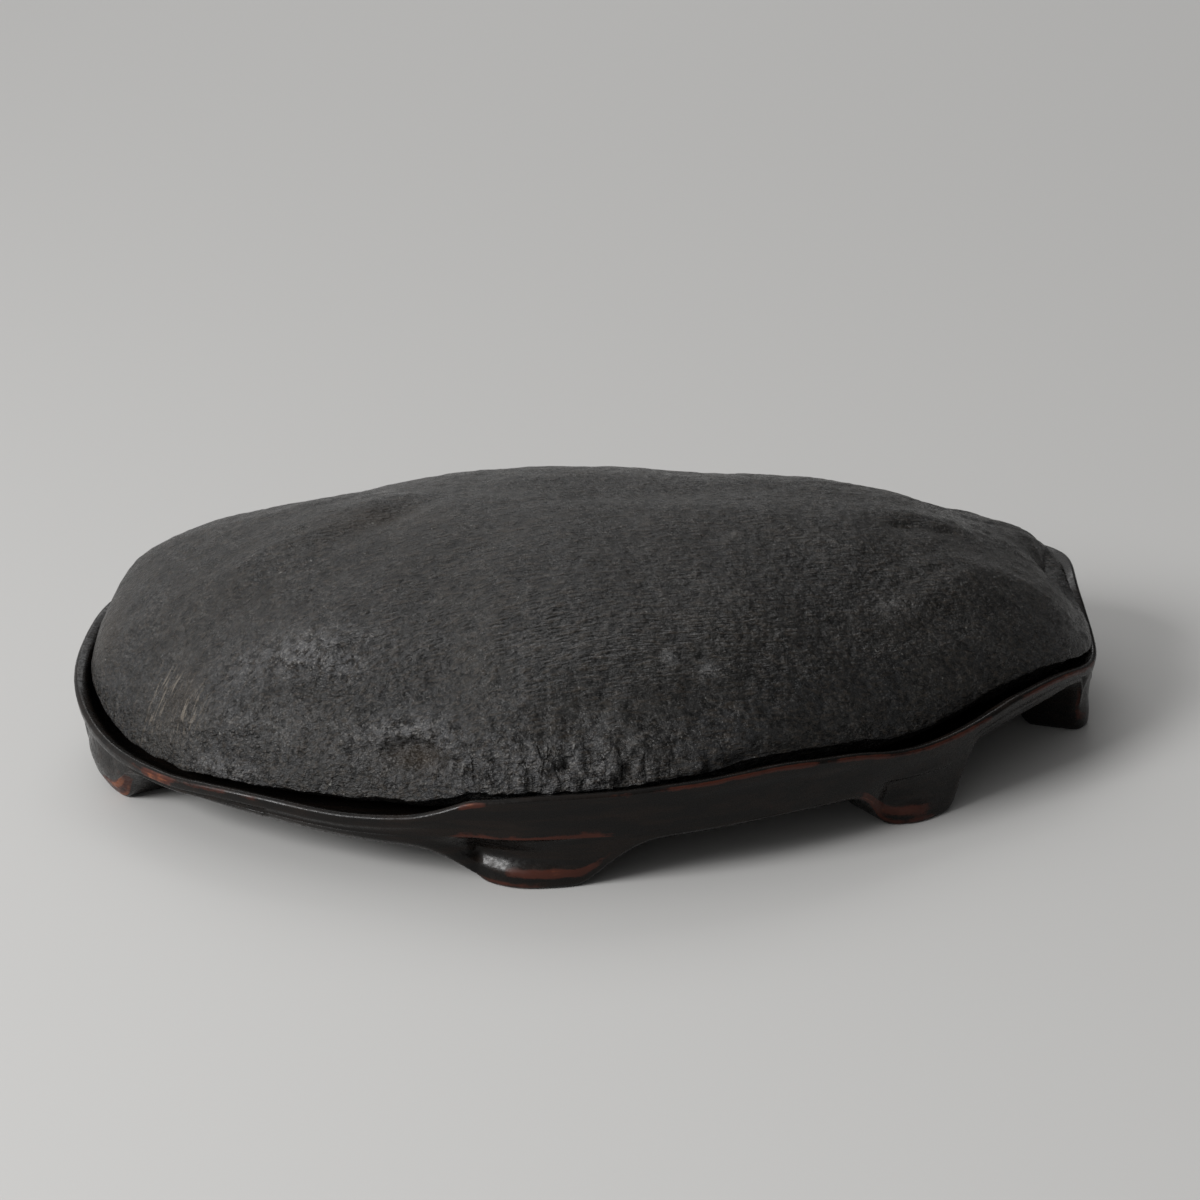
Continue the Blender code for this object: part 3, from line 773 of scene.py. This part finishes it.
def fine_relief(points, settings):
    """The stone's skin: hammered grain, flow lines, chatter and pits, in millimetres along the normal."""
    rough = patches_at(points, ROUGH_PATCHES)
    grain = sum(share * noise_at(points, length, shift) for length, share, shift in GRAIN_NOISES)
    relief = settings.grain / MM * (1.0 + ROUGH_GRAIN * rough) * grain
    for patch, depth, drawing in FLOW_LINES:
        relief += depth * patches_at(points, (patch,)) * streaks_at(points, *drawing)
    low = patches_at(points, (CHATTER_PATCH,))
    upright = points / np.array(CHATTER_SIZE)
    chatter = noise_at(upright, 1.0)
    fine_chatter = noise_at(upright * FINE_CHATTER[0], 1.0, FINE_CHATTER[1])
    relief += settings.chatter / MM * low * (0.8 - 2.4 * np.abs(chatter) - np.abs(fine_chatter))
    relief += 0.5 * rough * (0.5 - 2.0 * np.abs(noise_at(points, *CRUMBLE)))
    relief += forms_at(points, SMALL_FORMS)
    for middle, half_width, half_height, rise in UPRIGHT_FORMS:
        offset = points - np.array(middle)
        away = np.hypot(offset[:, 0], 0.4 * offset[:, 1]) / half_width
        relief += rise * np.exp(-(away**2) - (offset[:, 2] / half_height) ** 2)
    rough = np.clip(rough + 0.5 * low * (0.5 - 3.0 * np.abs(chatter)), 0.0, 1.2)
    return relief, rough, low


def build_stone(settings):
    """The stone: a ball drawn out to the line inside the rim, with a crown above and a belly below."""
    rim = Rim(RIM_STATIONS)
    bm = bmesh.new()
    bmesh.ops.create_cube(bm, size=2.0)
    bmesh.ops.subdivide_edges(bm, edges=bm.edges, cuts=STONE_DIVISIONS - 1, use_grid_fill=True)
    ball = np.array([vert.co.normalized() for vert in bm.verts])
    directions = ball + np.array(CROWDING)
    directions /= np.linalg.norm(directions, axis=1)[:, None]
    points, edge_height, middle = smooth_stone(rim, directions, settings.top / MM)
    relief = forms_at(points, STONE_FORMS)
    for length, size in SWELLS:
        relief += size * noise_at(points, length)
    free = np.clip((points[:, 2] - edge_height) / CALM_ABOVE_RIM, 0.0, 1.0)
    outward = (points - middle) / np.array(STONE_SPREAD) ** 2
    outward /= np.linalg.norm(outward, axis=1)[:, None]
    points += outward * (relief * free)[:, None]
    place = np.array(rim.place())
    for vert, point in zip(bm.verts, points + place):
        vert.co = point * MM
    bmesh.ops.recalc_face_normals(bm, faces=bm.faces)
    bm.normal_update()
    skin, rough, broken = fine_relief(points, settings)
    masks = (rough, patches_at(points, STAINS), patches_at(points, SCUFFS), broken)
    for name, values in zip(STONE_MASKS, masks):
        layer = bm.verts.layers.float.new(name)
        for vert, value in zip(bm.verts, values):
            vert[layer] = value
    near_edge = np.clip((points[:, 2] - edge_height + CALM_SKIN[0]) / CALM_SKIN[1], 0.0, 1.0)
    for vert, move in zip(bm.verts, skin * near_edge * MM):
        vert.co += vert.normal * move
    return bm


# --- Finishes


class Nodes:
    """Adds and links the nodes of one material or group."""

    def __init__(self, tree):
        self.tree = tree

    def add(self, kind, inputs=None, **settings):
        """A node with its settings, its plain values and its links."""
        node = self.tree.nodes.new(kind)
        for name, value in settings.items():
            setattr(node, name, value)
        for name, value in (inputs or {}).items():
            self.give(node.inputs[name], value)
        return node

    def give(self, socket, value):
        """Link a socket, or set its plain value."""
        if isinstance(value, bpy.types.NodeSocket):
            self.tree.links.new(value, socket)
        else:
            socket.default_value = value

    def math(self, operation, first, second=0.0, clamp=False):
        """One sum."""
        inputs = {0: first, 1: second}
        return self.add("ShaderNodeMath", inputs, operation=operation, use_clamp=clamp).outputs[0]

    def vector(self, operation, first, second=None):
        """One sum with vectors."""
        inputs = {0: first}
        if second is not None:
            inputs["Scale" if operation == "SCALE" else 1] = second
        return self.add("ShaderNodeVectorMath", inputs, operation=operation).outputs["Vector"]

    def attribute(self, name):
        """A value stored on the mesh."""
        return self.add("ShaderNodeAttribute", attribute_name=name).outputs["Fac"]

    def finish(self, shader, colour, gloss, specular, bump):
        """Give a finish to its shader."""
        sockets = {"Base Color": colour, "Roughness": gloss, "Normal": bump.outputs["Normal"]}
        for name, value in {**sockets, "Specular IOR Level": specular}.items():
            self.give(shader.inputs[name], value)

    def ramp(self, value, low, high, start=0.0, end=1.0):
        """Stretch a value between two limits, smoothly."""
        inputs = {"Value": value, "From Min": low, "From Max": high, "To Min": start, "To Max": end}
        return self.add("ShaderNodeMapRange", inputs, interpolation_type="SMOOTHSTEP").outputs["Result"]

    def blend(self, share, first, second):
        """Blend two colours."""
        node = self.add("ShaderNodeMix", {"Factor": share}, data_type="RGBA")
        for name, value in (("A", first), ("B", second)):
            self.give([item for item in node.inputs if item.name == name and item.type == "RGBA"][0], value)
        return [item for item in node.outputs if item.type == "RGBA"][0]


def speckle_group():
    """A shader group: a mask of soft blotches that breaks up an even surface."""
    name = "speckle"
    if name in bpy.data.node_groups:
        return bpy.data.node_groups[name]
    group = bpy.data.node_groups.new(name, "ShaderNodeTree")
    face = group.interface
    face.new_socket("Vector", in_out="INPUT", socket_type="NodeSocketVector")
    for socket_name, default in (("Scale", 100.0), ("Detail", 4.0), ("From", 0.4), ("To", 0.6)):
        face.new_socket(socket_name, in_out="INPUT", socket_type="NodeSocketFloat").default_value = default
    for socket_name in ("Mask", "Height"):
        face.new_socket(socket_name, in_out="OUTPUT", socket_type="NodeSocketFloat")
    nodes = Nodes(group)
    given = nodes.add("NodeGroupInput")
    out = nodes.add("NodeGroupOutput")
    inputs = {name: given.outputs[name] for name in ("Vector", "Scale", "Detail")}
    field = nodes.add("ShaderNodeTexNoise", {**inputs, "Roughness": 0.6}).outputs["Fac"]
    group.links.new(nodes.ramp(field, given.outputs["From"], given.outputs["To"]), out.inputs["Mask"])
    group.links.new(field, out.inputs["Height"])
    return group


def speckle(nodes, vector, *values):
    """Place the speckle group with its scale, its detail and the limits of its mask."""
    node = nodes.add("ShaderNodeGroup", node_tree=speckle_group())
    for socket, value in zip(node.inputs, (vector, *values)):
        nodes.give(socket, value)
    return node


def mineral(nodes, vector, scale):
    """A random colour for each crystal of a mineral grain, and its value alone."""
    colour = nodes.add("ShaderNodeTexVoronoi", {"Vector": vector, "Scale": scale}).outputs["Color"]
    return colour, nodes.add("ShaderNodeSeparateColor", {"Color": colour}).outputs["Red"]


def drawn_out(nodes, vector, turn, times):
    """Coordinates in which a pattern is drawn out along a turned axis."""
    inputs = {"Vector": vector, "Rotation": turn, "Scale": (times, 1.0, 1.0)}
    return nodes.add("ShaderNodeMapping", inputs, vector_type="TEXTURE").outputs["Vector"]


def crack_lines(nodes, place):
    """Fine upright cracks with wandering edges."""
    upright = nodes.add("ShaderNodeMapping", {"Vector": place, "Scale": CRACK_SHAPE}).outputs["Vector"]
    inputs = {"Vector": place, "Scale": CRACK_NOISE[0], "Detail": CRACK_NOISE[1]}
    wander = nodes.add("ShaderNodeTexNoise", inputs).outputs["Color"]
    upright = nodes.vector("ADD", upright, nodes.vector("SCALE", wander, CRACK_WANDER))
    inputs = {"Vector": upright, "Scale": CRACK_SCALE}
    split = nodes.add("ShaderNodeTexVoronoi", inputs, feature="DISTANCE_TO_EDGE").outputs["Distance"]
    return nodes.ramp(split, 0.07, 0.012)


def new_material(name):
    """A material with its Principled shader and its node helper."""
    material = bpy.data.materials.new(name)
    material.use_nodes = True
    return material, material.node_tree.nodes["Principled BSDF"], Nodes(material.node_tree)


def stone_finish(settings):
    """Waxed charcoal stone: hammered grain, dry patches, ochre stains and chalky specks; painted sheen low on
    the sides and, in part, on the rough patches; painted shade in the pits and cracks.
    """
    material, shader, nodes = new_material("waxed_stone")
    place = nodes.add("ShaderNodeTexCoord").outputs["Object"]
    height = nodes.add("ShaderNodeSeparateXYZ", {"Vector": place}).outputs["Z"]
    rough, stain, scuff, broken = [nodes.attribute(name) for name in STONE_MASKS]
    crack = nodes.math("MULTIPLY", crack_lines(nodes, place), nodes.ramp(broken, 0.25, 0.7))
    broad, clouds, grain, specks = [speckle(nodes, place, *item) for item in (BROAD, CLOUDS, GRAIN, SPECKS)]
    streaks = speckle(nodes, drawn_out(nodes, place, STREAK_TURN, 4.5), *STREAKS)
    scratches = speckle(nodes, drawn_out(nodes, place, SCRATCH_TURN, 12.0), *SCRATCHES)
    coarse, coarse_value = mineral(nodes, place, COARSE_MINERAL)
    fine_value = mineral(nodes, place, FINE_MINERAL)[1]
    clouded = nodes.math("MULTIPLY", clouds.outputs["Mask"], 0.16)
    thin = nodes.math("ADD", nodes.math("ADD", nodes.math("MULTIPLY", rough, 0.5), clouded), 0.05)
    bright = nodes.ramp(coarse_value, 0.70, 1.0, 0.0, 0.6)
    bright = nodes.math("ADD", bright, nodes.ramp(fine_value, 0.72, 1.0))
    colour = settings.colour[:]
    for mask, share, name in (
        # painted sheen, lighter and cooler towards the bottom
        (nodes.ramp(height, *LOW_SHEEN_HEIGHTS), 1.0, "low_sheen"),
        (broad.outputs["Mask"], 0.7, "light"),
        # the rough patches lighter: rubbed skin, and partly a painted sheen
        (rough, 0.75, "rubbed_and_sheen"),
        # painted shade in the low spots of the grain
        (nodes.ramp(grain.outputs["Height"], 0.55, 0.40), 0.85, "pit_shade"),
        (streaks.outputs["Mask"], 0.5, "streak"),
        (bright, thin, "dry"),
        # painted shade in the cracks
        (crack, 0.5, "pit_shade"),
        (nodes.math("MULTIPLY", scratches.outputs["Mask"], scuff), 0.8, "scuff"),
        (stain, 0.6, "stain"),
        (specks.outputs["Mask"], 0.6, "speck"),
    ):
        share = nodes.math("MULTIPLY", mask, share, clamp=True)
        colour = nodes.blend(share, colour, getattr(settings, name + "_colour")[:])
    gloss = nodes.ramp(coarse_value, 0.0, 1.0, 0.20, 0.36)
    gloss = nodes.math("ADD", gloss, nodes.math("MULTIPLY", broad.outputs["Mask"], 0.07))
    gloss = nodes.math("SUBTRACT", gloss, nodes.math("MULTIPLY", rough, 0.07))
    relief = nodes.math("ADD", grain.outputs["Height"], streaks.outputs["Height"])
    depth = nodes.math("ADD", nodes.math("MULTIPLY", rough, 0.8), nodes.ramp(height, 0.074, 0.05, 0.75, 0.8))
    relief = nodes.math("MULTIPLY", relief, depth)
    relief = nodes.math("SUBTRACT", relief, nodes.math("MULTIPLY", crack, 0.3))
    amount = nodes.math("ADD", nodes.math("MULTIPLY", rough, 0.30), 0.24)
    tilt = nodes.vector("SCALE", nodes.vector("SUBTRACT", coarse, (0.5, 0.5, 0.5)), amount)
    normal = nodes.add("ShaderNodeNewGeometry").outputs["Normal"]
    normal = nodes.vector("NORMALIZE", nodes.vector("ADD", normal, tilt))
    inputs = {"Height": relief, "Strength": 1.0, "Distance": STONE_RELIEF, "Normal": normal}
    nodes.finish(shader, colour, gloss, STONE_SPECULAR, nodes.add("ShaderNodeBump", inputs))
    return material


def wood_finish(settings):
    """Near-black finish over red wood, worn through along its edges."""
    material, shader, nodes = new_material("dark_wood")
    place = nodes.add("ShaderNodeTexCoord").outputs["Object"]
    along = nodes.add("ShaderNodeMapping", {"Vector": place, "Scale": WOOD_GRAIN}).outputs["Vector"]
    streaks = speckle(nodes, along, *WOOD_STREAKS)
    patches = speckle(nodes, place, *WOOD_PATCHES).outputs["Height"]
    pores = speckle(nodes, place, *WOOD_PORES).outputs["Height"]
    share = nodes.math("MULTIPLY", streaks.outputs["Mask"], 0.7)
    colour = nodes.blend(share, settings.colour[:], settings.streak_colour[:])
    low_streaks = nodes.math("MULTIPLY", streaks.outputs["Height"], 0.5)
    breakup = nodes.math("SUBTRACT", nodes.math("ADD", patches, low_streaks), 0.75)
    through = nodes.math("ADD", nodes.attribute("worn"), nodes.math("MULTIPLY", breakup, 1.3))
    red = nodes.ramp(through, 0.30, 0.62)
    colour = nodes.blend(red, colour, settings.worn_colour[:])
    colour = nodes.blend(nodes.ramp(through, 0.80, 1.05), colour, settings.bare_colour[:])
    gloss = nodes.ramp(pores, 0.35, 0.65, 0.17, 0.40)
    gloss = nodes.math("ADD", gloss, nodes.math("MULTIPLY", red, 0.12))
    relief = nodes.math("ADD", low_streaks, nodes.math("MULTIPLY", pores, 0.12))
    inputs = {"Height": relief, "Strength": 0.6, "Distance": WOOD_RELIEF}
    nodes.finish(shader, colour, gloss, WOOD_SPECULAR, nodes.add("ShaderNodeBump", inputs))
    return material


def floor_finish(settings):
    """Plain pale floor."""
    material, shader, _ = new_material("pale_floor")
    shader.inputs["Base Color"].default_value = settings.floor_colour[:]
    shader.inputs["Roughness"].default_value = FLOOR_ROUGHNESS
    shader.inputs["Specular IOR Level"].default_value = FLOOR_SPECULAR
    return material


def add_object(name, data):
    """Put an object of that name in the scene."""
    item = bpy.data.objects.new(name, data)
    bpy.context.scene.collection.objects.link(item)
    return item


def add_piece(name, bm, material):
    """Make a bmesh the scene's object of that name."""
    mesh = bpy.data.meshes.new(name)
    bm.to_mesh(mesh)
    bm.free()
    mesh.materials.append(material)
    mesh.shade_smooth()
    return add_object(name, mesh)


# --- Operators


class ROCK_OT_stone(bpy.types.Operator):
    """Build the stone"""

    bl_idname = "rock.stone"
    bl_label = "Stone"
    bl_options = {"REGISTER", "UNDO"}

    def execute(self, context):
        settings = context.scene.rock_stone
        piece = add_piece("waxed_rock", build_stone(settings), stone_finish(settings))
        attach(piece, BODY)
        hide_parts("stone")
        return {"FINISHED"}


class ROCK_OT_stand(bpy.types.Operator):
    """Build the carved stand"""

    bl_idname = "rock.stand"
    bl_label = "Stand"
    bl_options = {"REGISTER", "UNDO"}

    def execute(self, context):
        settings = context.scene.rock_stand
        piece = add_piece("carved_stand", build_stand(settings), wood_finish(settings))
        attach(piece, BODY)
        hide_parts("stand")
        return {"FINISHED"}


class ROCK_OT_stage(bpy.types.Operator):
    """Lay the floor, hang the lights and set up the camera"""

    bl_idname = "rock.stage"
    bl_label = "Stage"
    bl_options = {"REGISTER", "UNDO"}

    def execute(self, context):
        settings = context.scene.rock_stage
        scene = context.scene
        bm = bmesh.new()
        bmesh.ops.create_grid(bm, x_segments=4, y_segments=4, size=FLOOR_SIZE / 2.0)
        floor = add_piece("floor", bm, floor_finish(settings))
        world = bpy.data.worlds.new("even_light")
        world.use_nodes = True
        nodes = Nodes(world.node_tree)
        direction = nodes.add("ShaderNodeTexCoord").outputs["Generated"]
        inputs = {0: direction, 1: Vector(BRIGHT_SIDE).normalized()}
        towards = nodes.add("ShaderNodeVectorMath", inputs, operation="DOT_PRODUCT").outputs["Value"]
        background = nodes.tree.nodes["Background"]
        nodes.give(background.inputs["Color"], SKY_COLOUR)
        strength = nodes.ramp(towards, *SKY_TURN, settings.sky * DIM_SIDE, settings.sky)
        nodes.give(background.inputs["Strength"], strength)
        scene.world = world
        add_light(*MAIN_LIGHT, settings.main_power)
        add_light(*BACK_LIGHT, settings.back_power)
        lens = bpy.data.cameras.new("camera")
        lens.sensor_fit = "HORIZONTAL"
        lens.angle = settings.camera_angle
        lens.clip_start = CLIP_START
        camera = add_object("camera", lens)
        camera.location = (settings.camera_x, settings.camera_y, settings.camera_z)
        camera.rotation_euler = (math.radians(90.0) - settings.camera_pitch, 0.0, 0.0)
        scene.camera = camera
        scene.view_settings.view_transform = "Standard"
        return {"FINISHED"}


def add_light(name, place, target, size, power):
    """A soft rectangular light turned towards a target."""
    light = bpy.data.lights.new(name, "AREA")
    light.shape = "RECTANGLE"
    light.size, light.size_y = size
    light.energy = power
    lamp = add_object(name, light)
    lamp.location = place
    lamp.rotation_euler = (Vector(target) - Vector(place)).to_track_quat("-Z", "Y").to_euler()


class ROCK_PT_panel(bpy.types.Panel):
    """Sizes, colours and the pieces to build"""

    bl_idname = "ROCK_PT_panel"
    bl_label = "Scholar's Rock"
    bl_space_type = "VIEW_3D"
    bl_region_type = "UI"
    bl_category = "Scholar's Rock"

    def draw(self, context):
        for operator, group in PARTS:
            box = self.layout.box()
            box.operator(operator.bl_idname)
            settings = getattr(context.scene, group)
            for name in settings.bl_rna.properties.keys():
                if name not in ("name", "rna_type"):
                    box.prop(settings, name)


PARTS = (
    (ROCK_OT_stone, "rock_stone"),
    (ROCK_OT_stand, "rock_stand"),
    (ROCK_OT_stage, "rock_stage"),
)
SETTINGS = (StoneSettings, StandSettings, StageSettings)
CLASSES = SETTINGS + tuple(operator for operator, _ in PARTS) + (ROCK_PT_panel,)


def register():
    for item in CLASSES:
        bpy.utils.register_class(item)
    for (_, group), settings in zip(PARTS, SETTINGS):
        setattr(bpy.types.Scene, group, PointerProperty(type=settings))


def unregister():
    for _, group in PARTS:
        delattr(bpy.types.Scene, group)
    for item in reversed(CLASSES):
        bpy.utils.unregister_class(item)


def main():
    """Build every piece."""
    register()
    bpy.ops.rock.stone()
    bpy.ops.rock.stand()
    bpy.ops.rock.stage()


if __name__ == "__main__":
    main()
